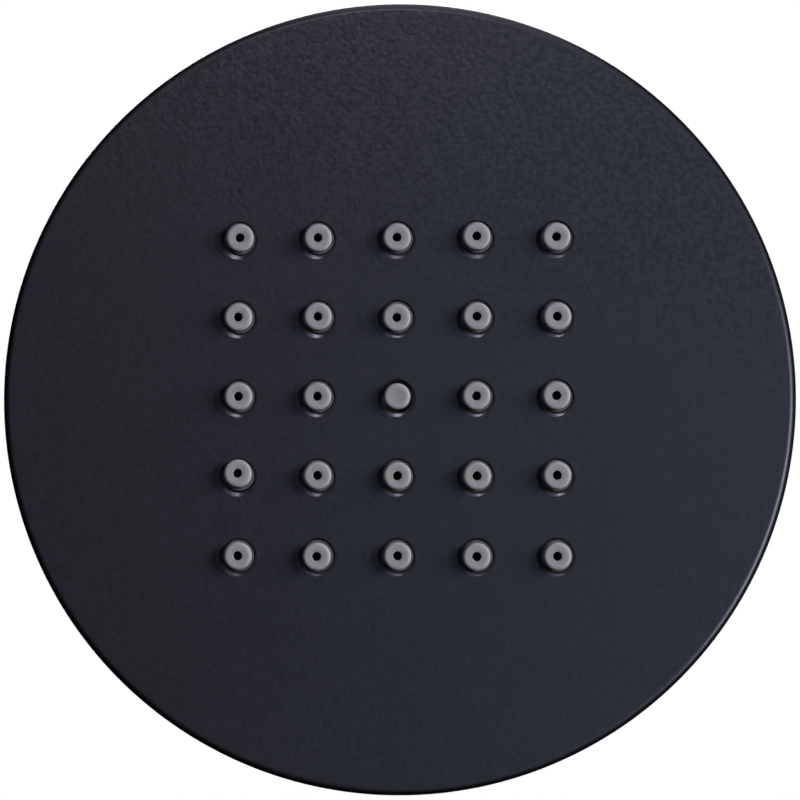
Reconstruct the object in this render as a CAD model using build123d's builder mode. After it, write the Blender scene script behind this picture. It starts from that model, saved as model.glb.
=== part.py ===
from build123d import *
import os
from math import radians, sqrt, tan

# Flush-fit shower body jet, in millimetres.
# +Z is up, the spray face looks along -Y, and the water comes in from behind along the Y axis.
# The origin is the centre of the wall plane, where the back edge of the face plate's rim lies.

# Face plate
face_d = 100.0  # outside diameter
sheet_t = 1.2  # thickness of the pressed sheet
edge_r = 1.0  # outside radius where the face turns back into the rim
rim_depth = 6.0  # from the wall plane to the front of the face

# Nozzle field
nozzle_rows = 5  # odd, so that one nozzle is in the middle: that one is blind
pitch = 10.0
hole_d = 4.2
nozzle_gap = 0.3  # foot of a nozzle to the wall of its hole
blind_gap = 0.4  # the same for the slimmer blind one
nozzle_proud = 1.1  # how far the tips stand out of the face
nozzle_draft = 3.0  # degrees, from the foot to the tip
orifice_d = 1.0

# Mat and carrier behind the face
mat_t = 1.5
seal_w = 2.4  # border of the mat that the cover clamps
carrier_t = 2.5
slot_w = 3.0  # water slots along the rows of nozzles
slot_edge = 0.5  # ends of the slots to the wall of the water space
ledge_w = 1.5  # border of the carrier that the cover bears on
fit_clear = 0.2  # round each moulding that drops into another

# Chamber cover
corner_r = 3.0  # corners of the water space
wall_t = 2.2
wall_draft = 6.0  # degrees
flange_t = 3.5
flange_land = 2.6  # flange outside the corners of the mat
roof_t = 2.4
pad_t = 1.4  # raised ring round the inlet hole
pad_w = 6.0
rib_t = 1.8
rib_count = 8
flow_gap = 2.0  # free height between the carrier and the end of the connector

# Studs and nuts
hex_sides = 6  # nuts, and the connector's own hexagon
stud_count = 4
stud_d = 3.0
stud_clear = 0.2  # round a stud in the flange
stud_tail = 1.2  # bare end past the nut
thread_clear = 0.05  # screwed pairs, drawn as plain cylinders
nut_flats = 5.5
nut_t = 2.4
spanner_clear = 1.0  # wall of the cover to the corners of a nut

# Inlet
pipe_thread_d = 20.955  # half-inch parallel pipe thread, over its crests
pipe_thread_l = 15.0
thread_lead = 1.2  # bevel at the mouth
hex_flats = 27.0
hex_t = 6.0
shank_d = 20.0  # fine thread through the cover
shank_tail = 1.0  # bare end past the inner nut
neck_clear = 0.1
inlet_nut_t = 5.0
inlet_seal_t = 1.5
bore_d = 12.4
filter_d = 14.0  # stepped mouth of the bore
filter_clear = 0.1
screen_t = 0.6
filter_rim_l = 3.4
filter_rim_w = 1.1
filter_sunk = 0.3  # rim of the filter to the mouth of the connector

# Wall gasket
gasket_clear = 0.3  # to the rim of the plate
gasket_w = 6.0  # width of the foam strip

# Depths along Y, from the spray face back into the wall
face_y = -rim_depth
sheet_y = face_y + sheet_t  # back of the sheet, where the mat and the cover lie
mat_y = sheet_y + mat_t
carrier_y = mat_y + carrier_t
flange_y = sheet_y + flange_t
shank_y = carrier_y + flow_gap
ceiling_y = shank_y + shank_tail + inlet_nut_t
roof_y = ceiling_y + roof_t
pad_y = roof_y + pad_t
hex_y = pad_y + inlet_seal_t
thread_y = hex_y + hex_t
mouth_y = thread_y + pipe_thread_l
screen_y = mouth_y - filter_sunk - filter_rim_l - screen_t

# Widths of the square outlines, from the water space outwards
grid_span = pitch * (nozzle_rows - 1)
water_w = grid_span + slot_w + 2 * slot_edge
carrier_w = water_w + 2 * ledge_w
pocket_w = carrier_w + 2 * fit_clear
mat_w = pocket_w + 2 * seal_w
recess_w = mat_w + 2 * fit_clear
chamber_w = pocket_w + 2 * wall_t

# Radii and lengths that follow
face_r = face_d / 2
nozzle_l = sheet_t + nozzle_proud
nut_r = nut_flats / sqrt(3)
stud_r = chamber_w / 2 + spanner_clear + nut_r
stud_l = flange_t + nut_t + stud_tail
roof_w = chamber_w - 2 * (roof_y - flange_y) * tan(radians(wall_draft))
neck_d = shank_d + 2 * neck_clear
pad_r = neck_d / 2 + pad_w
gasket_r = face_r - sheet_t - gasket_clear


def corner(width):
    """Corner radius of a square outline that runs parallel to the water space."""
    return corner_r + (width - water_w) / 2


flange_r = (recess_w / 2 - corner(recess_w)) * sqrt(2) + corner(recess_w) + flange_land

# Every nozzle but the one in the middle is open
middle = (nozzle_rows - 1) / 2
open_nozzles = [
    ((column - middle) * pitch, (row - middle) * pitch)
    for column in range(nozzle_rows)
    for row in range(nozzle_rows)
    if (column, row) != (middle, middle)
]

# Face plate: a pressed disc with its rim turned back to the wall
with BuildPart() as face_plate:
    with BuildSketch(Plane.XY):
        with BuildLine():
            Polyline(
                (0, face_y),
                (face_r, face_y),
                (face_r, 0),
                (face_r - sheet_t, 0),
                (face_r - sheet_t, sheet_y),
                (0, sheet_y),
                close=True,
            )
        make_face()
    revolve(axis=Axis.Y)
    fillet(face_plate.edges().group_by(Axis.Y)[0], radius=edge_r)
    with Locations(Plane.XZ.offset(-face_y)):
        with GridLocations(pitch, pitch, nozzle_rows, nozzle_rows):
            Hole(hole_d / 2, depth=sheet_t)

# Weld studs on the back of the plate
with BuildPart() as plate_studs:
    with BuildSketch(Plane.ZX.offset(sheet_y)):
        with PolarLocations(stud_r, stud_count):
            Circle(stud_d / 2)
    extrude(amount=stud_l)

# Nozzle mat: one soft moulding, with every nozzle open but the middle one
with BuildPart() as nozzle_mat:
    with BuildSketch(Plane.ZX.offset(sheet_y)):
        RectangleRounded(mat_w, mat_w, corner(mat_w))
    extrude(amount=mat_t)
    with BuildSketch(Plane.XZ.offset(-sheet_y)):
        Circle(hole_d / 2 - blind_gap)
        with Locations(*open_nozzles):
            Circle(hole_d / 2 - nozzle_gap)
    extrude(amount=nozzle_l, taper=nozzle_draft)
    with BuildSketch(Plane.XZ.offset(-mat_y)):
        with Locations(*open_nozzles):
            Circle(orifice_d / 2)
    extrude(amount=mat_t + nozzle_l, mode=Mode.SUBTRACT)

# Nozzle carrier: backs the mat, with a slot along each row of nozzles
with BuildPart() as nozzle_carrier:
    with BuildSketch(Plane.XZ.offset(-carrier_y)):
        RectangleRounded(carrier_w, carrier_w, corner(carrier_w))
        with GridLocations(0, pitch, 1, nozzle_rows):
            Rectangle(grid_span + slot_w, slot_w, mode=Mode.SUBTRACT)
    extrude(amount=carrier_t)

# Chamber cover: flange, drafted square chamber, ribbed roof and inlet pad
with BuildPart() as chamber_cover:
    with BuildSketch(Plane.ZX.offset(sheet_y)):
        Circle(flange_r)
    extrude(amount=flange_t)
    with BuildSketch(Plane.ZX.offset(flange_y)):
        RectangleRounded(chamber_w, chamber_w, corner(chamber_w))
    extrude(amount=roof_y - flange_y, taper=wall_draft)
    with BuildSketch(Plane.ZX.offset(roof_y)):
        with PolarLocations(0, rib_count):
            Rectangle(roof_w / 2, rib_t, align=(Align.MIN, Align.CENTER))
    extrude(amount=pad_t)
    with BuildSketch(Plane.ZX.offset(roof_y)):
        Circle(pad_r)
    extrude(amount=pad_t)
    with BuildSketch(Plane.ZX.offset(sheet_y)):
        RectangleRounded(recess_w, recess_w, corner(recess_w))
    extrude(amount=mat_t, mode=Mode.SUBTRACT)
    with BuildSketch(Plane.ZX.offset(mat_y)):
        RectangleRounded(pocket_w, pocket_w, corner(pocket_w))
    extrude(amount=carrier_t, mode=Mode.SUBTRACT)
    with BuildSketch(Plane.ZX.offset(carrier_y)):
        RectangleRounded(water_w, water_w, corner_r)
    extrude(amount=ceiling_y - carrier_y, mode=Mode.SUBTRACT)
    with BuildSketch(Plane.ZX.offset(ceiling_y)):
        Circle(neck_d / 2)
    extrude(amount=pad_y - ceiling_y, mode=Mode.SUBTRACT)
    with BuildSketch(Plane.ZX.offset(sheet_y)):
        with PolarLocations(stud_r, stud_count):
            Circle(stud_d / 2 + stud_clear)
    extrude(amount=flange_t, mode=Mode.SUBTRACT)

# Nuts that pull the cover against the plate
with BuildPart() as cover_nuts:
    with BuildSketch(Plane.ZX.offset(flange_y)):
        with PolarLocations(stud_r, stud_count):
            RegularPolygon(nut_flats / 2, hex_sides, major_radius=False)
            Circle(stud_d / 2 + thread_clear, mode=Mode.SUBTRACT)
    extrude(amount=nut_t)

# Inlet connector: shank through the cover, hexagon, and pipe thread drawn over its crests
with BuildPart() as inlet_connector:
    with BuildSketch(Plane.ZX.offset(shank_y)):
        Circle(shank_d / 2)
    extrude(amount=hex_y - shank_y)
    with BuildSketch(Plane.ZX.offset(hex_y)):
        RegularPolygon(hex_flats / 2, hex_sides, major_radius=False)
    extrude(amount=hex_t)
    with BuildSketch(Plane.ZX.offset(thread_y)):
        Circle(pipe_thread_d / 2)
    extrude(amount=pipe_thread_l)
    chamfer(inlet_connector.edges().group_by(Axis.Y)[-1], length=thread_lead)
    with BuildSketch(Plane.ZX.offset(shank_y)):
        Circle(bore_d / 2)
    extrude(amount=mouth_y - shank_y, mode=Mode.SUBTRACT)
    with BuildSketch(Plane.ZX.offset(screen_y)):
        Circle(filter_d / 2)
    extrude(amount=mouth_y - screen_y, mode=Mode.SUBTRACT)

with BuildPart() as inlet_seal:
    with BuildSketch(Plane.ZX.offset(pad_y)):
        Circle(hex_flats / 2)
        Circle(neck_d / 2, mode=Mode.SUBTRACT)
    extrude(amount=inlet_seal_t)

with BuildPart() as inlet_nut:
    with BuildSketch(Plane.ZX.offset(ceiling_y - inlet_nut_t)):
        RegularPolygon(hex_flats / 2, hex_sides, major_radius=False)
        Circle(shank_d / 2 + thread_clear, mode=Mode.SUBTRACT)
    extrude(amount=inlet_nut_t)

# Inlet filter: a woven screen on the step of the bore, held down by a push-in rim
with BuildPart() as filter_screen:
    with BuildSketch(Plane.ZX.offset(screen_y)):
        Circle(filter_d / 2 - filter_clear)
    extrude(amount=screen_t)

with BuildPart() as filter_rim:
    with BuildSketch(Plane.ZX.offset(screen_y + screen_t)):
        Circle(filter_d / 2 - filter_clear)
        Circle(filter_d / 2 - filter_clear - filter_rim_w, mode=Mode.SUBTRACT)
    extrude(amount=filter_rim_l)

# Wall gasket: foam ring inside the rim, level with its back edge
with BuildPart() as wall_gasket:
    with BuildSketch(Plane.ZX.offset(sheet_y)):
        Circle(gasket_r)
        Circle(gasket_r - gasket_w, mode=Mode.SUBTRACT)
    extrude(amount=-sheet_y)

pieces = {
    "face_plate": face_plate,
    "plate_studs": plate_studs,
    "nozzle_mat": nozzle_mat,
    "nozzle_carrier": nozzle_carrier,
    "chamber_cover": chamber_cover,
    "cover_nuts": cover_nuts,
    "inlet_connector": inlet_connector,
    "inlet_seal": inlet_seal,
    "inlet_nut": inlet_nut,
    "filter_screen": filter_screen,
    "filter_rim": filter_rim,
    "wall_gasket": wall_gasket,
}
os.makedirs("parts", exist_ok=True)
for name, piece in pieces.items():
    piece.part.label = name
    export_step(piece.part, f"parts/{name}.step")
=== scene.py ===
import random
from math import atan2, ceil, cos, hypot, pi, radians, sin, tan, tau

import bmesh
import bpy
from mathutils import Matrix, Vector


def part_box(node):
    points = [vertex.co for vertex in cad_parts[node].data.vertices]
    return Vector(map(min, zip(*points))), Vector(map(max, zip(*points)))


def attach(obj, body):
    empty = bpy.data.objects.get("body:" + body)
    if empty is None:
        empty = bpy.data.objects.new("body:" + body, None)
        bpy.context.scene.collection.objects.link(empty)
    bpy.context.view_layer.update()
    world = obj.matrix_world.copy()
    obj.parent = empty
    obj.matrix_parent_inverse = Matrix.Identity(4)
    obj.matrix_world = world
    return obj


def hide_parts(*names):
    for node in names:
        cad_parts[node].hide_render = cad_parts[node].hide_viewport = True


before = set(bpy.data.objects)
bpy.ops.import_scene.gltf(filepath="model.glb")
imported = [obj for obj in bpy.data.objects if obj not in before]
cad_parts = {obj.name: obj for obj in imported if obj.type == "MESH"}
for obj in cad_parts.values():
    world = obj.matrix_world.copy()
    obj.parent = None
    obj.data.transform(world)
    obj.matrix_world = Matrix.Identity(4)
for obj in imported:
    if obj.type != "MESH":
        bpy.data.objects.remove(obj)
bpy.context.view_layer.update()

# The body jet hangs on the wall with its spray face along -Y. Meshes are made in millimetres and
# put into metres when they are finished.
MM = 0.001
weld = 1e-4  # vertices nearer than this become one
cad_weld = 1e-3  # the same in a copy of a CAD node
same_depth = 1e-3


def extent(node):
    """Lowest and highest corner of a CAD node, in millimetres."""
    low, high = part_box(node)
    return low / MM, high / MM


# Sizes that follow the frame
plate_low, plate_high = extent("face_plate")
face_r, face_y = plate_high.x, plate_low.y
mat_low, mat_high = extent("nozzle_mat")
mat_half, mat_y, tip_y = mat_high.x, mat_high.y, mat_low.y
sheet_y = extent("chamber_cover")[0].y
stud_low, stud_high = extent("plate_studs")
nut_low, nut_high = extent("cover_nuts")
hex_y = extent("inlet_seal")[1].y
inlet_low, inlet_high = extent("inlet_connector")
shank_y, mouth_y = inlet_low.y, inlet_high.y
screen_low, screen_high = extent("filter_screen")

# Face plate
coat_gloss = 0.4
edge_r = 1.0
field_r = face_r - 3 * edge_r  # the face inside the rim
foot_r = 0.25  # broken edges at the wall
hole_r = 2.1
lead_w = 0.31  # shallow lead into each hole, pressed in by the punch
lead_h = 0.11
lead_drift = (-0.14, -0.2)  # how far the lead lies off the middle of its hole
lip_r = 0.03
flat_border = 0.05  # keeps the shading of a flat face off the rounding beside it

# Nozzle field
rows = 5
pitch = 10.0
orifice_r = 0.57
orifice_edge = 0.03
nozzle_r = 1.7  # at the foot of a nozzle
tip_r = 1.74
blind_r = 1.7
blind_tip_r = 1.62
collar_r = 2.02  # low collar in the hole round an open nozzle
collar_edge = 0.1
collar_sunk = 0.15
crown_w = 0.42  # rounded edge of a tip
crown_h = 0.2
dish_h = 0.05  # shallow dish in a tip
mat_corner_r = 7.1
sway = 0.05  # how far an ordinary tip stands off its grid point
leaning = {
    (0, 1): (-0.06, 0.34),
    (0, 4): (0.15, 0.03),
    (3, 4): (0.0, 0.13),
    (2, 3): (-0.06, -0.12),
    (4, 3): (0.1, -0.05),
    (1, 0): (-0.1, -0.12),
    (3, 0): (-0.05, -0.15),
    (4, 0): (0.05, -0.1),
}

# Inlet and what seals it
thread_crest_r = 20.955 / 2
thread_depth = 1.16
thread_pitch = 1.814
thread_l = 15.0
thread_lead = 1.2  # bevel at the mouth
thread_relief = 1.6  # groove beside the hexagon
thread_run_out = 1.7  # rise from the groove to the full thread
hex_flats = 27.0
bore_r = 6.2
mouth_bevel = 0.3
seat_gap = 0.1  # round the filter screen
shank_r = 10.0
seal_gap = 0.1  # round the shank
seal_edge = 0.25
filter_t = 1.1  # wall of the filter's rim
filter_edge = 0.2
foam_w = 6.0
foam_edge = 0.3
mesh_pitch = 0.72
wire_r = 0.15

# Cover and its fasteners
cover_edge = 0.3
cover_flat = 1.0  # degrees between faces that become one
cover_fold = 40.0  # edges sharper than this many degrees are broken
cover_flange = 1.0  # edges this near the plate stay as they are
nut_flats = 5.5
nut_sink = 0.3
turned_share = 0.475  # radius turned on the face of a hexagon, as a share of its flats
corner_slope = 30.0  # degrees
stud_count = 4
stud_r = 1.5
stud_pitch = 0.5
stud_depth = 0.28
stud_hidden = 1.0  # thread inside a nut

# How finely round shapes are divided
plate_steps = 240
hole_steps = 48
nozzle_steps = 40
inlet_steps = 120
thread_steps = 64
nut_steps = 48
stud_steps = 24
stud_thread_steps = 20
seal_steps = 96
filter_steps = 64
foam_steps = 160

# Camera and stage, in metres and degrees
camera_distance = 0.36
camera_right = 2.4
camera_below = 3.05
camera_aim = (0.00033, face_y * MM, -0.00046)
frame_width = 0.10064  # what the photo's frame spans at the face plate
sensor = 36.0  # millimetres
floor_z = -1.0
floor_half = 1.5
floor_white = 0.7  # share of the surround's white in the middle of the floor
floor_fade = (0.3, 1.35)  # distances between which it grows to the whole
room_level = 0.02
wall_side = (0.995, 0.0, 0.1)  # the way to the pale wall that shows in the gloss
wall_rise = (-0.1, 0.16)  # how far that way it begins to show, and shows in full
wall_fall = (0.16, 0.25)  # how far that way it begins to fade, and is gone
wall_ahead = (0.5, 0.9)  # the same as wall_rise, straight out from the face
wall_level = 1.13
wall_tint = (0.5, 0.65, 1.0)


# Shaping


def arc(centre, radius, start, end, steps):
    """Points (radius, depth) on a round stretch of an outline, between two angles in degrees."""
    return oval(centre, radius, radius, start, end, steps)


def oval(centre, width, height, start, end, steps):
    """The same on an oval."""
    turns = [radians(start + (end - start) * i / steps) for i in range(steps + 1)]
    return [(centre[0] + width * cos(a), centre[1] + height * sin(a)) for a in turns]


def outline(bm, points):
    """An open line of edges through points (radius, depth)."""
    verts = [bm.verts.new((r, y, 0)) for r, y in points]
    return verts + [bm.edges.new(pair) for pair in zip(verts, verts[1:])]


def lathe(bm, points, steps, centre=(0, 0)):
    """Turns an outline right round the Y axis, moves it to centre (x, z), returns its vertices."""
    turned = bmesh.new()
    bmesh.ops.spin(
        turned,
        geom=outline(turned, points),
        cent=(0, 0, 0),
        axis=(0, 1, 0),
        angle=tau,
        steps=steps,
        use_merge=True,
    )
    bmesh.ops.translate(turned, vec=(centre[0], 0, centre[1]), verts=turned.verts)
    mesh = bpy.data.meshes.new("turned")
    turned.to_mesh(mesh)
    turned.free()
    before = len(bm.verts)
    bm.from_mesh(mesh)
    bpy.data.meshes.remove(mesh)
    return bm.verts[before:]


def closed(points):
    """An outline that ends where it began."""
    return points + points[:1]


def around(bm, count):
    """Repeats all that is there round the Y axis."""
    bmesh.ops.spin(
        bm,
        geom=bm.verts[:] + bm.edges[:] + bm.faces[:],
        cent=(0, 0, 0),
        axis=(0, 1, 0),
        angle=tau * (count - 1) / count,
        steps=count - 1,
        use_duplicate=True,
    )


def fill(bm, depth):
    """Closes a flat face at one depth, round the holes in it."""
    open_edges = [e for e in bm.edges if e.is_boundary]
    rims = [e for e in open_edges if all(abs(v.co.y - depth) < same_depth for v in e.verts)]
    bmesh.ops.triangle_fill(bm, use_beauty=False, edges=rims)


def thread(bm, crest, depth, lead, low, high, steps):
    """A V thread along Y: one turn's outline carried round and along, cut square at both ends."""
    root = crest - depth
    # Root, rise, crest and fall, with their places as shares of the lead
    turn = [(root, 0), (root, 0.1), (crest, 0.42), (crest, 0.68), (root, 1)]
    turns = ceil((high - low) / lead) + 2
    line = outline(bm, [(r, low + (share - 1) * lead) for r, share in turn])
    bmesh.ops.spin(
        bm,
        geom=line,
        cent=(0, 0, 0),
        axis=(0, 1, 0),
        dvec=(0, lead / steps, 0),
        angle=tau * turns,
        steps=steps * turns,
    )
    bmesh.ops.remove_doubles(bm, verts=bm.verts, dist=weld)
    for depth_cut, side in ((low, -1), (high, 1)):
        bmesh.ops.bisect_plane(
            bm,
            geom=bm.verts[:] + bm.edges[:] + bm.faces[:],
            plane_co=(0, depth_cut, 0),
            plane_no=(0, side, 0),
            clear_outer=True,
        )


def trim(verts, reach):
    """Pulls vertices in to the radius that reach gives for their depth."""
    for v in verts:
        radius, limit = hypot(v.co.x, v.co.z), reach(v.co.y)
        if radius > limit:
            v.co.x *= limit / radius
            v.co.z *= limit / radius


def make_hexagon(verts, flats, turned, middle):
    """Moves what stands outside the turned radius onto six flats, with the corners sloped off."""
    for v in verts:
        radius = hypot(v.co.x, v.co.z)
        if radius > turned + weld:
            bearing = atan2(v.co.x, v.co.z) % (tau / 6)
            reach = flats / 2 / cos(bearing - tau / 12)
            v.co.x *= reach / radius
            v.co.z *= reach / radius
            v.co.y += (reach - turned) * tan(radians(corner_slope)) * (1 if v.co.y < middle else -1)


def piece(name, node, slot, bm, coats=None, crease=32):
    """Makes a mesh a piece that stands for a CAD node, sharp along edges above the crease angle.

    Its finish has the slot's name unless coats names others.
    """
    bmesh.ops.remove_doubles(bm, verts=bm.verts, dist=weld)
    bmesh.ops.recalc_face_normals(bm, faces=bm.faces)
    for f in bm.faces:
        f.smooth = True
    for e in bm.edges:
        e.smooth = e.calc_face_angle(0) < radians(crease)
    bmesh.ops.scale(bm, vec=(MM, MM, MM), verts=bm.verts)
    mesh = bpy.data.meshes.new(name)
    bm.to_mesh(mesh)
    bm.free()
    for coat in coats or (slot,):
        mesh.materials.append(finishes[coat])
    made = bpy.data.objects.new(name, mesh)
    bpy.context.scene.collection.objects.link(made)
    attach(made, "root")
    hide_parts(node)


# Finishes


class Value:
    """A socket that gives a value, with the arithmetic that is used on it."""

    def __init__(self, nodes, socket):
        self.nodes, self.socket = nodes, socket

    def math(self, operation, *terms):
        return self.nodes.node("ShaderNodeMath", {"operation": operation}, dict(enumerate(terms)))

    def __add__(self, other):
        return self.math("ADD", self, other)

    def __sub__(self, other):
        return self.math("SUBTRACT", self, other)

    def __rsub__(self, other):
        return self.math("SUBTRACT", other, self)

    def __mul__(self, other):
        return self.math("MULTIPLY", self, other)

    __radd__ = __add__
    __rmul__ = __mul__


class Nodes:
    """The node tree of a finish or of the sky."""

    def __init__(self, owner):
        owner.use_nodes = True
        self.tree = owner.node_tree
        self.tree.nodes.clear()

    def node(self, kind, settings=None, sockets=None, output=0):
        """One node: its settings, then the values or links of its sockets. Gives one output."""
        made = self.tree.nodes.new(kind)
        for name, value in (settings or {}).items():
            setattr(made, name, value)
        for name, value in (sockets or {}).items():
            if isinstance(value, Value):
                self.tree.links.new(value.socket, made.inputs[name])
            else:
                made.inputs[name].default_value = value
        return Value(self, made.outputs[output]) if made.outputs else None

    def place(self):
        return self.node("ShaderNodeTexCoord", output="Object")

    def vector(self, operation, *terms, output="Value"):
        settings, sockets = {"operation": operation}, dict(enumerate(terms))
        return self.node("ShaderNodeVectorMath", settings, sockets, output)

    def along(self, vector, way):
        """How far a vector reaches in one direction."""
        return self.vector("DOT_PRODUCT", vector, way)

    def spread(self, across):
        """Distance from an axis, with 1 for each of the two directions across it."""
        return self.vector("LENGTH", self.vector("MULTIPLY", self.place(), across, output="Vector"))

    def rays(self):
        """Whether a ray comes from the camera, from a glossy surface or through a clear one."""
        kinds = ("Is Camera Ray", "Is Glossy Ray", "Is Transmission Ray")
        return [self.node("ShaderNodeLightPath", output=kind) for kind in kinds]

    def noise(self, size, detail=2.0, roughness=0.5, stretch=(1, 1, 1)):
        """Soft patches of about that size in millimetres, from 0 to 1."""
        where = self.node("ShaderNodeMapping", None, {"Vector": self.place(), "Scale": stretch})
        return self.node(
            "ShaderNodeTexNoise",
            None,
            {"Vector": where, "Scale": 1 / (size * MM), "Detail": detail, "Roughness": roughness},
        )

    def cells(self, size):
        """Distance to the middle of the nearest cell of about that size in millimetres."""
        sockets = {"Vector": self.place(), "Scale": 1 / (size * MM)}
        return self.node("ShaderNodeTexVoronoi", None, sockets)

    def ramp(self, value, low, high):
        """0 up to low and 1 from high on, with a smooth rise between them."""
        return self.node(
            "ShaderNodeMapRange",
            {"interpolation_type": "SMOOTHSTEP"},
            {"Value": value, "From Min": low, "From Max": high},
        )

    def tint(self, share, first, second):
        """A colour between two."""
        ends = [c if isinstance(c, Value) else (*c, 1) for c in (first, second)]
        sockets = {0: share, 6: ends[0], 7: ends[1]}
        return self.node("ShaderNodeMix", {"data_type": "RGBA"}, sockets, output=2)

    def bump(self, height, micrometres):
        sockets = {"Height": height, "Strength": 1.0, "Distance": micrometres * 1e-6}
        return self.node("ShaderNodeBump", None, sockets)

    def surface(self, **sockets):
        """The main shader, with sockets named in small letters and underscores."""
        special = {"specular": "Specular IOR Level"}
        names = {key: special.get(key, key.replace("_", " ").title()) for key in sockets}
        named = {names[key]: value for key, value in sockets.items()}
        return self.node("ShaderNodeBsdfPrincipled", None, named)


def finish(name, paint):
    """A material from a function that gives its shader."""
    made = bpy.data.materials.new(name)
    nodes = Nodes(made)
    nodes.node("ShaderNodeOutputMaterial", None, {"Surface": paint(nodes)})
    return made


def coat_colour(n, speckle=0.5):
    """Blue-black, faintly clouded and speckled."""
    share = 0.35 + 0.3 * n.noise(14, 3.0) + speckle * (n.noise(0.65, 1.0) - 0.5)
    return n.tint(share, (0.0156, 0.0158, 0.0188), (0.0312, 0.0316, 0.0376))


def black_coat(n):
    """Fine-textured black powder coat: small grains on faint orange peel, coarser at the top, where
    painted glints strengthen its colour speckle.
    """
    grain = n.noise(0.6, 1.0)
    peel = n.noise(1.8, 1.0)
    top_grain_and_glints = n.ramp(n.along(n.place(), (0.3, 0, 0.95)), 0.1 * face_r * MM, 0.9 * face_r * MM)
    return n.surface(
        # painted glints: the colour speckle grows stronger toward the top, beside the coarser grain
        # of the bump
        base_color=coat_colour(n, 0.9 + 2.4 * top_grain_and_glints),
        roughness=0.235 + 0.05 * grain + 0.03 * peel,
        specular=coat_gloss,
        normal=n.bump((0.65 + 0.6 * top_grain_and_glints) * grain + 0.35 * peel, 27),
    )


def smooth_coat(n):
    """The same coat run smooth over the edges: silkier at the rim, and painted shade makes it deep
    black outside it.
    """
    radius = n.spread((1, 0, 1))
    rim = n.ramp(radius, field_r * MM, (face_r - edge_r) * MM)
    # painted shade: the outermost part of the rounded edge is coloured near black
    outside = n.ramp(radius, (face_r - 0.7 * edge_r) * MM, (face_r - 0.3 * edge_r) * MM)
    return n.surface(
        base_color=n.tint(outside, coat_colour(n), (0.004, 0.004, 0.005)),
        roughness=0.16 + 0.06 * n.noise(0.5, 2.0) + 0.13 * rim,
        specular=coat_gloss,
        normal=n.bump(n.noise(0.9, 1.0), 6),
    )


def grey_silicone(n):
    """Soft matt rubber: a faint haze, tips painted paler round their dishes as a sheen, and painted
    shade in the holes.
    """
    haze = n.noise(1.1, 3.0)
    depth = n.along(n.place(), (0, 1, 0))
    # painted sheen: the front of each tip, round its dish, is coloured paler
    painted_sheen = 1 - n.ramp(depth, tip_y * MM, (tip_y + dish_h) * MM)
    # painted shade: the rubber turns dark at the foot of each nozzle and inside its hole
    painted_recess_shade = n.ramp(depth, (face_y - 0.9) * MM, (face_y - 0.1) * MM)
    rubber_with_sheen = n.tint(0.4 * haze + 0.6 * painted_sheen, (0.278, 0.276, 0.273), (0.355, 0.353, 0.35))
    return n.surface(
        base_color=n.tint(painted_recess_shade, rubber_with_sheen, (0.1, 0.1, 0.098)),
        roughness=0.5 + 0.12 * haze,
        specular=0.3,
        subsurface_weight=0.4,
        subsurface_radius=(1.0, 0.9, 0.85),
        subsurface_scale=0.4 * MM,
        normal=n.bump(n.noise(0.16, 2.0), 5),
    )


def black_plastic(n):
    """Spark-eroded moulded plastic."""
    texture = n.noise(0.3, 3.0, 0.7)
    flow = n.noise(9, 2.0)
    return n.surface(
        base_color=n.tint(flow, (0.019, 0.019, 0.02), (0.028, 0.028, 0.03)),
        roughness=0.42 + 0.14 * texture,
        normal=n.bump(texture, 16),
    )


def pale_plastic(n):
    """Plain moulded plastic, clouded a little by its flow."""
    flow = n.noise(5, 2.0)
    return n.surface(
        base_color=n.tint(flow, (0.62, 0.62, 0.58), (0.7, 0.7, 0.67)),
        roughness=0.55 + 0.1 * flow,
        specular=0.2,
        normal=n.bump(n.noise(0.25, 2.0), 6),
    )


def brass(n, polish=0.2):
    """Turned brass: fine tool lines round the axis, dulled in patches."""
    lines = n.noise(0.12, 2.0, 0.6, (0.02, 1, 0.02))
    dull = n.noise(4, 4.0, 0.6)
    return n.surface(
        base_color=n.tint(dull, (0.68, 0.47, 0.2), (0.78, 0.58, 0.29)),
        metallic=1.0,
        roughness=polish + 0.16 * dull + 0.08 * lines,
        normal=n.bump(lines, 3),
    )


def wetted_brass(n):
    """The same brass inside the chamber, dull from the water."""
    return brass(n, 0.7)


def steel(n):
    """Stainless steel, drawn along its length."""
    lines = n.noise(0.08, 2.0, 0.6, (1, 0.1, 1))
    return n.surface(
        base_color=n.tint(lines, (0.5, 0.5, 0.5), (0.64, 0.64, 0.63)),
        metallic=1.0,
        roughness=0.26 + 0.14 * lines,
        normal=n.bump(lines, 2),
    )


def black_rubber(n):
    """Moulded rubber with a faint grey bloom."""
    bloom = n.noise(1.5, 4.0, 0.6)
    return n.surface(
        base_color=n.tint(bloom, (0.012, 0.012, 0.012), (0.03, 0.03, 0.031)),
        roughness=0.55 + 0.15 * bloom,
        normal=n.bump(n.noise(0.2, 2.0), 8),
    )


def grey_foam(n):
    """Closed-cell foam strip: small open cells in its cut faces, with painted shade in them."""
    cells = n.cells(0.6)
    # painted shade: each open cell is coloured darker toward its middle; the same value shapes the
    # bump
    pores_and_shade = n.ramp(cells, 0.1, 0.45)
    return n.surface(
        base_color=n.tint(pores_and_shade, (0.03, 0.03, 0.032), (0.1, 0.1, 0.105)),
        roughness=0.82 + 0.1 * n.noise(3, 2.0),
        normal=n.bump(pores_and_shade, 90),
    )


finishes = {
    paint.__name__: finish(paint.__name__, paint)
    for paint in (
        black_coat,
        smooth_coat,
        grey_silicone,
        black_plastic,
        pale_plastic,
        brass,
        wetted_brass,
        steel,
        black_rubber,
        grey_foam,
    )
}


# Pieces


def grid_points():
    """Column, row and centre (x, z) of each nozzle, counted from the left and from the bottom."""
    middle = (rows - 1) / 2
    for column in range(rows):
        for row in range(rows):
            yield column, row, ((column - middle) * pitch, (row - middle) * pitch)


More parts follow.
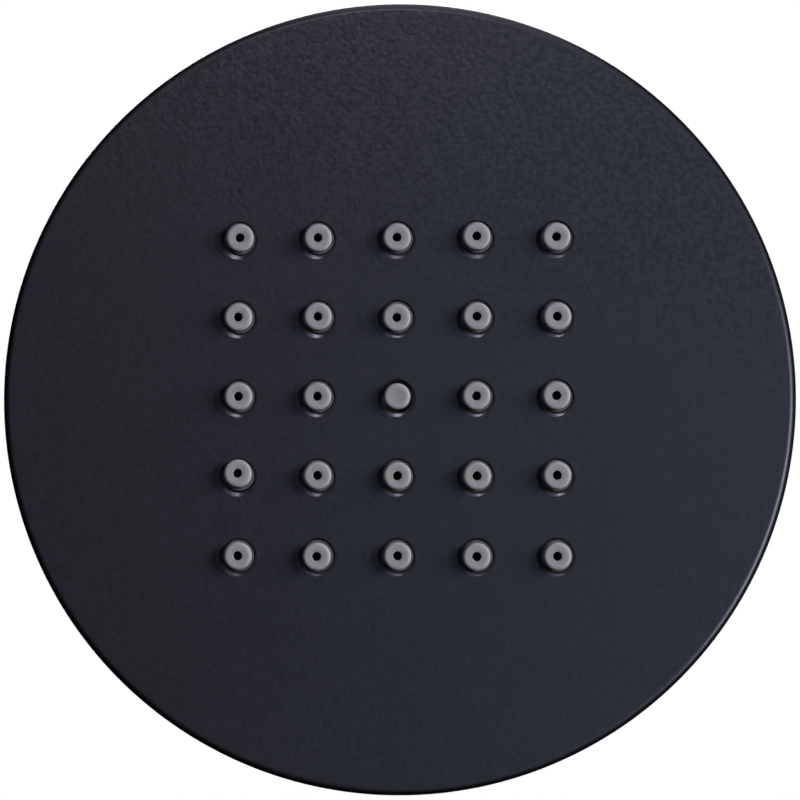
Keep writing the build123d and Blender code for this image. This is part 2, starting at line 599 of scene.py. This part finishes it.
def make_plate():
    """Pressed disc with a rounded edge, its rim turned back to the wall, and rounded holes."""
    bm = bmesh.new()
    sheet_t = sheet_y - face_y
    rim = [(field_r, face_y), (face_r - edge_r - flat_border, face_y)]
    rim += arc((face_r - edge_r, face_y + edge_r), edge_r, -90, 0, 12)
    rim += arc((face_r - foot_r, -foot_r), foot_r, 0, 90, 3)
    rim += arc((face_r - sheet_t + foot_r, -foot_r), foot_r, 90, 180, 3)
    rim += [(face_r - sheet_t, sheet_y), (field_r, sheet_y)]
    lathe(bm, rim, plate_steps)
    for f in bm.faces:
        middle = f.calc_center_median()
        f.material_index = int(hypot(middle.x, middle.z) > face_r - edge_r)
    lip = hole_r + lip_r
    lead_in = (lip + lead_w, lip + lead_w - flat_border, lip + flat_border, lip)
    hole = [(lead_in[0] + flat_border, face_y)]
    hole += [(r, face_y + lead_h * (lead_in[0] - r) / lead_w) for r in lead_in]
    hole += arc((lip, face_y + lead_h + lip_r), lip_r, -90, -180, 4)
    hole += [(hole_r, sheet_y)]
    for _, _, centre in grid_points():
        for v in lathe(bm, hole, hole_steps, centre):
            share = max(0, 1 - (v.co.y - face_y) / lead_h)
            v.co.x += lead_drift[0] * share
            v.co.z += lead_drift[1] * share
            for f in v.link_faces:
                f.material_index = 1
    fill(bm, face_y)
    fill(bm, sheet_y)
    piece("coated_plate", "face_plate", "black_coat", bm, ("black_coat", "smooth_coat"))


def make_mat():
    """One soft moulding: a flat mat behind the plate and its nozzles, the middle one blind."""
    bm = bmesh.new()
    flat = Matrix.Translation((0, sheet_y, 0)) @ Matrix.Rotation(radians(90), 4, "X")
    bmesh.ops.create_grid(bm, x_segments=1, y_segments=1, size=mat_half, matrix=flat)
    bmesh.ops.bevel(
        bm,
        geom=bm.verts[:],
        offset=mat_corner_r,
        segments=8,
        profile=0.5,
        affect="VERTICES",
        material=-1,
    )
    bmesh.ops.delete(bm, geom=bm.faces[:], context="FACES_ONLY")
    walls = bmesh.ops.extrude_edge_only(bm, edges=bm.edges[:])["geom"]
    back = [v for v in walls if isinstance(v, bmesh.types.BMVert)]
    bmesh.ops.translate(bm, vec=(0, mat_y - sheet_y, 0), verts=back)

    def crown(radius):
        return oval((radius - crown_w, tip_y + crown_h), crown_w, crown_h, -90, 0, 8)

    dish_y, collar_y = tip_y + dish_h, face_y + collar_sunk
    open_tip = [
        (orifice_r, mat_y),
        (orifice_r, dish_y + orifice_edge),
        (orifice_r + orifice_edge, dish_y),
        (tip_r - crown_w - flat_border, tip_y),
        *crown(tip_r),
        (nozzle_r, collar_y),
        (collar_r - collar_edge, collar_y),
        (collar_r, collar_y + collar_edge),
        (collar_r, sheet_y),
    ]
    blind_tip = [
        (0, dish_y),
        (blind_tip_r - 2 * crown_w, dish_y),
        *crown(blind_tip_r),
        (blind_r, sheet_y),
    ]

    spread = random.Random(7)
    for column, row, centre in grid_points():
        blind = column == row == (rows - 1) / 2
        verts = lathe(bm, blind_tip if blind else open_tip, nozzle_steps, centre)
        stray = (spread.uniform(-sway, sway), spread.uniform(-sway, sway))
        lean = leaning.get((column, row), stray)
        for v in verts:
            share = max(0, (sheet_y - v.co.y) / (sheet_y - tip_y))
            v.co.x += lean[0] * share
            v.co.z += lean[1] * share
    fill(bm, sheet_y)
    fill(bm, mat_y)
    piece("silicone_mat", "nozzle_mat", "grey_silicone", bm)


def make_cover():
    """The moulded chamber, with its outer edges broken as a mould leaves them."""
    bm = bmesh.new()
    bm.from_mesh(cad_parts["chamber_cover"].data)
    bmesh.ops.scale(bm, vec=(1 / MM, 1 / MM, 1 / MM), verts=bm.verts)
    bmesh.ops.remove_doubles(bm, verts=bm.verts, dist=cad_weld)
    bmesh.ops.dissolve_limit(bm, angle_limit=radians(cover_flat), verts=bm.verts, edges=bm.edges)
    outer = [
        e
        for e in bm.edges
        if e.is_manifold
        and e.is_convex
        and e.calc_face_angle() > radians(cover_fold)
        and min(v.co.y for v in e.verts) > sheet_y + cover_flange
    ]
    bmesh.ops.bevel(
        bm,
        geom=outer,
        offset=cover_edge,
        segments=2,
        profile=0.5,
        affect="EDGES",
        clamp_overlap=True,
        material=-1,
    )
    piece("moulded_cover", "chamber_cover", "black_plastic", bm, crease=12)


def make_studs():
    """Weld studs, threaded at the ends that show past the nuts."""
    bm = bmesh.new()
    core_r, hidden_y = stud_r - stud_depth, nut_high.y - stud_hidden
    thread(bm, stud_r, stud_depth, stud_pitch, hidden_y, stud_high.y, stud_thread_steps)
    trim(bm.verts, lambda y: stud_r - max(0, y - (stud_high.y - stud_depth)))
    lathe(bm, [(0, stud_low.y), (core_r, stud_low.y), (core_r, hidden_y)], stud_steps)
    fill(bm, stud_high.y)
    bmesh.ops.translate(bm, vec=(0, 0, stud_high.z - stud_r), verts=bm.verts)
    around(bm, stud_count)
    piece("threaded_studs", "plate_studs", "steel", bm)


def make_nuts():
    """Hexagon nuts with turned corners and a countersunk thread."""
    bm = bmesh.new()
    low, high, turned = nut_low.y, nut_high.y, nut_flats * turned_share
    shape = [
        (stud_r + nut_sink, low),
        (turned, low),
        (nut_flats / 2, low),
        (nut_flats / 2, high),
        (turned, high),
        (stud_r + nut_sink, high),
        (stud_r, high - nut_sink),
        (stud_r, low + nut_sink),
    ]
    lathe(bm, closed(shape), nut_steps)
    make_hexagon(bm.verts, nut_flats, turned, (low + high) / 2)
    bmesh.ops.translate(bm, vec=(0, 0, stud_high.z - stud_r), verts=bm.verts)
    around(bm, stud_count)
    piece("hexagon_nuts", "cover_nuts", "steel", bm)


def make_inlet():
    """Brass tail: shank in the cover, hexagon, relief groove and half-inch pipe thread."""
    bm = bmesh.new()
    thread_y = mouth_y - thread_l
    groove_r = thread_crest_r - thread_depth
    thread(bm, thread_crest_r, thread_depth, thread_pitch, thread_y, mouth_y, thread_steps)
    trim(bm.verts, lambda y: thread_crest_r - max(0, y - (mouth_y - thread_lead)))
    trim(bm.verts, lambda y: groove_r + max(0, y - thread_y - thread_relief) * thread_run_out)
    turned = hex_flats * turned_share
    seat_r = screen_high.x + seat_gap
    shape = [
        (seat_r + mouth_bevel, mouth_y),
        (seat_r, mouth_y - mouth_bevel),
        (seat_r, screen_low.y),
        (bore_r, screen_low.y),
        (bore_r, shank_y),
        (shank_r, shank_y),
        (shank_r, hex_y),
        (turned, hex_y),
        (hex_flats / 2, hex_y),
        (hex_flats / 2, thread_y),
        (turned, thread_y),
    ]
    body = lathe(bm, shape, inlet_steps)
    make_hexagon(body, hex_flats, turned, (hex_y + thread_y) / 2)
    fill(bm, thread_y)
    fill(bm, mouth_y)
    for f in bm.faces:
        f.material_index = int(f.calc_center_median().y < hex_y)
    piece("threaded_inlet", "inlet_connector", "brass", bm, ("brass", "wetted_brass"))


def make_ring(name, node, slot, outer, inner, edge, steps):
    """A plain ring as deep as its node, with its edges broken."""
    bm = bmesh.new()
    low, high = extent(node)
    corners = [
        (outer - edge, low.y + edge, -90),
        (outer - edge, high.y - edge, 0),
        (inner + edge, high.y - edge, 90),
        (inner + edge, low.y + edge, 180),
    ]
    section = []
    for r, y, start in corners:
        section += arc((r, y), edge, start, start + 90, 3)
    lathe(bm, closed(section), steps)
    piece(name, node, slot, bm)


def make_screen():
    """Woven wire disc in the mouth of the inlet."""
    bm = bmesh.new()
    middle = (screen_low.y + screen_high.y) / 2
    reach = screen_high.x - wire_r
    count = int(reach / mesh_pitch)
    for i in range(-count, count + 1):
        start = (-count * mesh_pitch, middle + wire_r * (-1) ** i, i * mesh_pitch)
        across = Matrix.Translation(start) @ Matrix.Rotation(radians(90), 4, "Y")
        bmesh.ops.create_circle(bm, cap_ends=False, radius=wire_r, segments=6, matrix=across)
    ends = bm.edges[:]
    for step in range(2 * count):
        grown = bmesh.ops.extrude_edge_only(bm, edges=ends)["geom"]
        verts = {v for v in grown if isinstance(v, bmesh.types.BMVert)}
        ends = [e for e in grown if isinstance(e, bmesh.types.BMEdge) and verts.issuperset(e.verts)]
        for v in verts:
            v.co.x += mesh_pitch
            v.co.y -= 2 * wire_r * (-1) ** (step + round(v.co.z / mesh_pitch))
    far = [v for v in bm.verts if hypot(v.co.x, round(v.co.z / mesh_pitch) * mesh_pitch) > reach]
    bmesh.ops.delete(bm, geom=far, context="VERTS")
    bmesh.ops.holes_fill(bm, edges=bm.edges, sides=6)
    second = bmesh.ops.duplicate(bm, geom=bm.verts[:] + bm.edges[:] + bm.faces[:])["geom"]
    bmesh.ops.rotate(
        bm,
        cent=(0, middle, 0),
        matrix=Matrix.Rotation(pi, 3, (1, 0, 1)),
        verts=[v for v in second if isinstance(v, bmesh.types.BMVert)],
    )
    piece("woven_screen", "filter_screen", "steel_mesh", bm, ("steel",), crease=60)


def make_rings():
    """The seal of the inlet, the rim of its filter and the foam at the wall."""
    seal_r, rim_r, foam_r = (extent(n)[1].x for n in ("inlet_seal", "filter_rim", "wall_gasket"))
    seal = (seal_r, shank_r + seal_gap, seal_edge, seal_steps)
    rim = (rim_r, rim_r - filter_t, filter_edge, filter_steps)
    foam = (foam_r, foam_r - foam_w, foam_edge, foam_steps)
    make_ring("rubber_seal", "inlet_seal", "black_rubber", *seal)
    make_ring("filter_collar", "filter_rim", "pale_plastic", *rim)
    make_ring("foam_ring", "wall_gasket", "grey_foam", *foam)


def coat_solids():
    """Finishes for the two hidden nodes whose own shapes stay."""
    for node, coat in (("nozzle_carrier", "pale_plastic"), ("inlet_nut", "wetted_brass")):
        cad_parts[node].data.materials.clear()
        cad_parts[node].data.materials.append(finishes[coat])


make_plate()
make_mat()
make_cover()
make_studs()
make_nuts()
make_inlet()
make_screen()
make_rings()
coat_solids()


# Stage: a pale floor well below, a white surround and soft lamps


def floor_paper(n):
    """Pale paper: a faint shadow below the jet, and further out as white as the surround."""
    camera, glossy, through = n.rays()
    bright = floor_white + (1 - floor_white) * n.ramp(n.spread((1, 1, 0)), *floor_fade)
    paper = n.tint(n.noise(40), (0.78, 0.78, 0.78), (0.82, 0.82, 0.82))
    lit = n.node("ShaderNodeBsdfDiffuse", None, {"Color": paper})
    white = n.node("ShaderNodeEmission", None, {"Color": (1, 1, 1, 1), "Strength": 1.0})
    seen = bright * (camera + glossy + through)
    return n.node("ShaderNodeMixShader", None, {0: seen, 1: lit, 2: white})


def make_floor():
    bm = bmesh.new()
    level = Matrix.Translation((0, 0, floor_z))
    bmesh.ops.create_grid(bm, x_segments=1, y_segments=1, size=floor_half, matrix=level)
    mesh = bpy.data.meshes.new("floor")
    bm.to_mesh(mesh)
    bm.free()
    mesh.materials.append(finish("floor_paper", floor_paper))
    made = bpy.data.objects.new("floor", mesh)
    made.visible_diffuse = made.visible_glossy = False  # the photo shows no floor light on the jet
    bpy.context.scene.collection.objects.link(made)


def make_sky():
    """White behind the object, a dim room, and a pale wall to the right that shows in the gloss."""
    world = bpy.data.worlds.new("studio")
    bpy.context.scene.world = world
    n = Nodes(world)
    direction = n.node("ShaderNodeTexCoord", output="Generated")
    toward, ahead = n.along(direction, wall_side), n.along(direction, (0, -1, 0))
    camera, glossy, through = n.rays()
    wall = (n.ramp(toward, *wall_rise) - n.ramp(toward, *wall_fall)) * n.ramp(ahead, *wall_ahead)
    level = room_level + (1 - room_level) * (camera + through) + wall_level * glossy * wall
    colour = n.tint(glossy, (1, 1, 1), wall_tint)
    background = n.node("ShaderNodeBackground", None, {"Color": colour, "Strength": level})
    n.node("ShaderNodeOutputWorld", None, {"Surface": background})


def make_lamp(name, place, size, radiance, tint=(1, 1, 1), diffuse=True, glossy=True):
    """A soft panel that faces the object, of that size in metres and brightness."""
    data = bpy.data.lights.new(name, "AREA")
    data.shape = "RECTANGLE"
    data.size, data.size_y = size
    data.energy = radiance * pi * size[0] * size[1]
    data.color = tint
    made = bpy.data.objects.new(name, data)
    made.location = place
    made.rotation_mode = "QUATERNION"
    made.rotation_quaternion = (-Vector(place)).to_track_quat("-Z", "Y")
    made.visible_camera = False
    made.visible_diffuse, made.visible_glossy = diffuse, glossy
    bpy.context.scene.collection.objects.link(made)


def make_lamps():
    """The key throws the nozzles' shadows, the next three draw edges, the last lights the back."""
    make_lamp("key", (1.08, -0.44, 0.28), (0.62, 0.56), 23.7, (0.97, 0.98, 1.05), glossy=False)
    make_lamp("top", (-0.05, -0.71, 0.37), (0.11, 0.09), 18.0, (0.95, 0.86, 1.08))
    make_lamp("ceiling", (0.04, -0.1, 0.6), (0.4, 0.6), 1.4, (0.85, 0.88, 1.08), diffuse=False)
    make_lamp("side", (0.287, -0.24, -0.07), (0.14, 0.26), 11.5, (0.74, 0.82, 1.0), diffuse=False)
    make_lamp("back", (-0.1, 0.6, 0.35), (0.5, 0.5), 6.5)


def make_camera():
    data = bpy.data.cameras.new("camera")
    data.sensor_width = sensor
    data.lens = sensor * camera_distance / frame_width
    made = bpy.data.objects.new("camera", data)
    right, below = radians(camera_right), radians(camera_below)
    back = Vector((sin(right) * cos(below), -cos(right) * cos(below), -sin(below)))
    made.location = Vector(camera_aim) + back * camera_distance
    made.rotation_mode = "QUATERNION"
    made.rotation_quaternion = (-back).to_track_quat("-Z", "Y")
    bpy.context.scene.collection.objects.link(made)
    bpy.context.scene.camera = made


make_floor()
make_sky()
make_lamps()
make_camera()
bpy.context.scene.view_settings.view_transform = "Standard"
